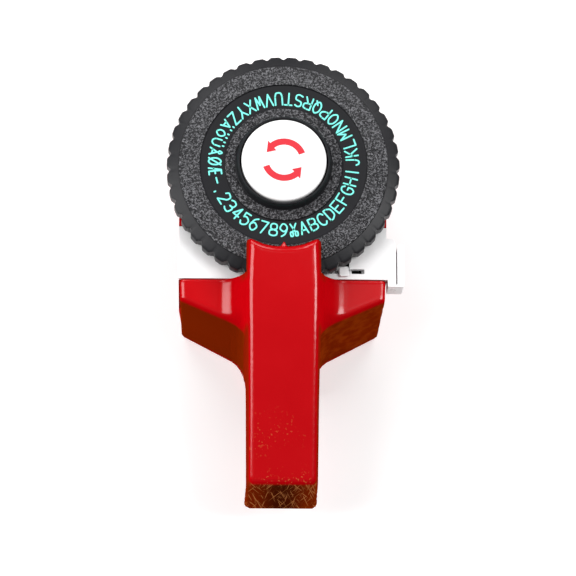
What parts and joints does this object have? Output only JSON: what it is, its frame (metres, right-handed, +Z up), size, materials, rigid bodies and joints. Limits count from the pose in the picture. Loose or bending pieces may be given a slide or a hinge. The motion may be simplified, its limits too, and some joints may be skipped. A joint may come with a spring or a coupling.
{
  "type": "embossing label maker",
  "caption": "Hand-held embossing label maker with a lettered dial on a squeeze handle, tape deck, feed rollers, cutter and reel.",
  "frame": {"origin": "on the dial's axis, on the plane that the flat underside rests on", "axes": "+Z up along the dial's axis, -Y from the dial towards the handle, +X towards the deck's side ledge"},
  "size_m": [0.0696, 0.1306, 0.0489],
  "materials": {
    "red_shell": "glossy moulded, fine scratches",
    "white_plastic": "satin moulded",
    "white_cap": "glossy with a printed mark",
    "black_dial": "coarse grained top, smooth rim, mint lettering",
    "grey_frame": "plain moulded",
    "grey_disc": "plain moulded",
    "steel": "bright turned",
    "spring_steel": "drawn wire and strip",
    "roller_rubber": "ground",
    "tape": "glossy vinyl tape"
  },
  "bodies": {
    "housing": {"handle_shell": "red_shell", "front_housing": "red_shell", "tape_deck": "white_plastic", "base_plate": "red_shell", "chassis": "grey_frame", "anvil": "steel", "lever_pin": "steel", "trigger_spring": "spring_steel", "detent_spring": "spring_steel", "pressure_pin": "steel", "screw_1": "steel", "screw_2": "steel", "screw_3": "steel", "screw_4": "steel", "tape_strip": "tape"},
    "cover": {"reel_cover": "red_shell"},
    "dial_wheel": {"dial": "black_dial", "dial_cap": "white_cap", "dial_screw": "steel", "spindle": "steel", "punch_disc": "grey_disc", "die_disc": "grey_disc", "disc_spacer": "grey_disc"},
    "trigger": {"trigger_lever": "red_shell", "pawl_pin": "steel"},
    "ram_block": {"ram": "steel"},
    "feed": {"feed_roller": "roller_rubber", "feed_shaft": "steel", "ratchet_wheel": "white_plastic"},
    "presser": {"pressure_roller": "white_plastic"},
    "pawl": {"feed_pawl": "steel"},
    "slider": {"release_slider": "white_plastic"},
    "cutter": {"blade_holder": "grey_frame", "cutter_blade": "steel"},
    "reel": {"reel_hub": "white_plastic", "tape_roll": "tape"}
  },
  "joints": [
    {"name": "dial_turn", "type": "hinge", "parent": "housing", "child": "dial_wheel", "pos_m": [0, 0, 0.0374], "axis": [0, 0, 1], "continuous": true},
    {"name": "trigger_squeeze", "type": "hinge", "parent": "housing", "child": "trigger", "pos_m": [0, -0.0025, 0.017], "axis": [-1, 0, 0], "range_deg": [0, 6.5], "stiffness_Nm_per_rad": 2, "springref_deg": -5.73, "deforming": ["trigger_spring"]},
    {"name": "ram_lift", "type": "slide", "parent": "housing", "child": "ram_block", "axis": [0, 0, 1], "range_m": [0, 0.0028]},
    {"name": "feed_turn", "type": "hinge", "parent": "housing", "child": "feed", "pos_m": [0.0236, -0.0265, 0.0265], "axis": [0, -1, 0], "continuous": true},
    {"name": "pressure_turn", "type": "hinge", "parent": "housing", "child": "presser", "pos_m": [0.0246, -0.0265, 0.03232], "axis": [0, -1, 0], "continuous": true},
    {"name": "pawl_swing", "type": "hinge", "parent": "trigger", "child": "pawl", "pos_m": [0.015, -0.035, 0.017], "axis": [0, -1, 0], "range_deg": [0, 8], "stiffness_Nm_per_rad": 0.002, "springref_deg": -11.46},
    {"name": "release_slide", "type": "slide", "parent": "housing", "child": "slider", "axis": [1, 0, 0], "range_m": [-0.002, 0.002]},
    {"name": "cutter_lift", "type": "slide", "parent": "housing", "child": "cutter", "axis": [0, 0, 1], "range_m": [0, 0.0025], "stiffness_N_per_m": 400, "springref_m": -0.001},
    {"name": "reel_turn", "type": "hinge", "parent": "housing", "child": "reel", "pos_m": [0.004, -0.005, 0.0028], "axis": [0, 0, 1], "continuous": true},
    {"name": "cover_slide", "type": "slide", "parent": "housing", "child": "cover", "axis": [0, 1, 0], "range_m": [0, 0.03]}
  ],
  "couplings": [
    {"joint": "ram_lift", "follows": "trigger_squeeze", "m_per_rad": 0.0245},
    {"joint": "pressure_turn", "follows": "feed_turn", "ratio": -2.3333}
  ]
}
